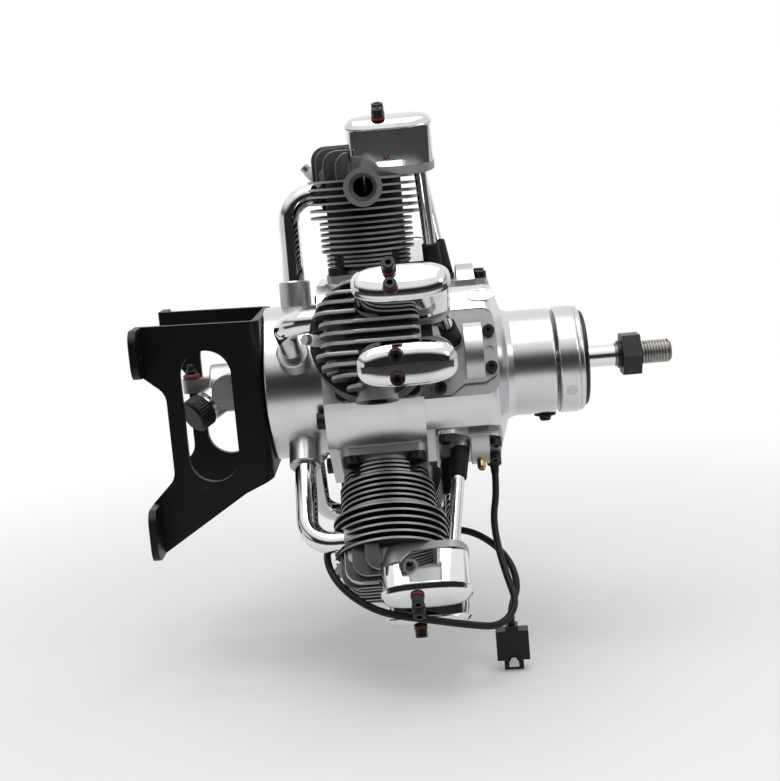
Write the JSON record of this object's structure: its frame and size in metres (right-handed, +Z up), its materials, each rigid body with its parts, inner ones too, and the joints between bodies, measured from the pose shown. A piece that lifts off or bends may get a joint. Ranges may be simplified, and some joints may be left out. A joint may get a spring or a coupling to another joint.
{
  "type": "model radial engine",
  "caption": "Four-stroke petrol radial engine for a large model aeroplane, on its bent steel firewall mount, turning a propeller shaft.",
  "frame": {"origin": "centre of the firewall bolt pattern, on the firewall plane", "axes": "+X forward along the propeller shaft, +Z up through the top cylinder, +Y to the engine's left"},
  "size_m": [0.2245, 0.2272, 0.2359],
  "materials": {
    "cast_aluminium": "bead-blasted cast cylinder, thin machined fins",
    "case_aluminium": "machined, satin bright",
    "tray_aluminium": "satin machined",
    "polished_cover": "mirror polished",
    "polished_pipe": "polished tube",
    "steel": "ground steel",
    "polished_steel": "polished shaft",
    "black_oxide": "black oxide on steel, satin",
    "black_steel": "black satin powder coat",
    "black_ring": "black anodised, fine knurl on the face",
    "black_rubber": "soft black rubber",
    "red_washer": "red fibre washer",
    "red_ring": "red O-ring",
    "white_ceramic": "glazed white ceramic",
    "brass": "bright turned brass",
    "carburettor_metal": "die-cast, machined faces",
    "black_plastic": "moulded black plastic",
    "cord_black": "smooth black cable sheath",
    "magnet": "nickel plated"
  },
  "bodies": {
    "engine": {"air_cap": "carburettor_metal", "air_tube": "polished_pipe", "bearing_balls": "steel", "bearing_outer_races": "steel", "carburettor_body": "carburettor_metal", "connector_clip": "steel", "cord_connector": "black_plastic", "cover_screws": "black_oxide", "cover_washers": "red_washer", "crankcase": "case_aluminium", "crankpin": "steel", "cylinder_1": "cast_aluminium", "cylinder_2": "cast_aluminium", "cylinder_3": "cast_aluminium", "cylinder_4": "cast_aluminium", "cylinder_5": "cast_aluminium", "cylinder_screws": "black_oxide", "drain_nipple": "brass", "engine_mount": "black_steel", "front_case": "case_aluminium", "idler_pin": "steel", "ignition_sensor": "black_plastic", "induction_housing": "case_aluminium", "intake_collars": "tray_aluminium", "intake_pipes": "polished_pipe", "link_rods": "steel", "master_rod": "steel", "mount_screws": "black_oxide", "needle_seal": "red_ring", "pistons": "tray_aluminium", "plug_insulators": "white_ceramic", "pushrod_boots": "black_rubber", "pushrod_tubes": "polished_pipe", "pushrods": "steel", "rear_cover": "case_aluminium", "rear_screws": "black_oxide", "rocker_covers": "polished_cover", "rocker_shafts": "steel", "rockers": "steel", "rod_pins": "steel", "sensor_cord": "cord_black", "spark_plugs": "steel", "strain_relief": "black_rubber", "tappet_block_screws": "black_oxide", "tappet_blocks": "case_aluminium", "tappets": "steel", "valve_springs": "steel", "valves": "steel"},
    "crank": {"crankshaft": "polished_steel", "crank_pinion": "steel", "prop_driver": "tray_aluminium", "drive_ring": "black_ring", "prop_nut": "black_oxide", "bearing_inner_races": "steel", "trigger_magnet": "magnet"},
    "idler": {"idler_gear": "steel"},
    "cam": {"cam_ring": "steel"},
    "throttle": {"throttle_barrel": "steel", "throttle_arm": "steel"},
    "needle": {"mixture_needle": "black_oxide"}
  },
  "joints": [
    {"name": "crank_spin", "type": "hinge", "parent": "engine", "child": "crank", "pos_m": [0.098, 0, 0.015], "axis": [1, 0, 0], "continuous": true},
    {"name": "idler_spin", "type": "hinge", "parent": "engine", "child": "idler", "pos_m": [0.123, 0, 0.0325], "axis": [1, 0, 0], "continuous": true},
    {"name": "cam_spin", "type": "hinge", "parent": "engine", "child": "cam", "pos_m": [0.127, 0, 0.015], "axis": [1, 0, 0], "continuous": true},
    {"name": "throttle_turn", "type": "hinge", "parent": "engine", "child": "throttle", "pos_m": [0.034, 0, 0.015], "axis": [0, 1, 0], "range_deg": [0, 70]},
    {"name": "needle_turn", "type": "hinge", "parent": "engine", "child": "needle", "pos_m": [0.017, -0.003, 0.02], "axis": [0, 0, 1], "range_deg": [-180, 180]}
  ],
  "couplings": [
    {"joint": "idler_spin", "follows": "crank_spin", "ratio": -0.66667},
    {"joint": "cam_spin", "follows": "crank_spin", "ratio": -0.25}
  ]
}
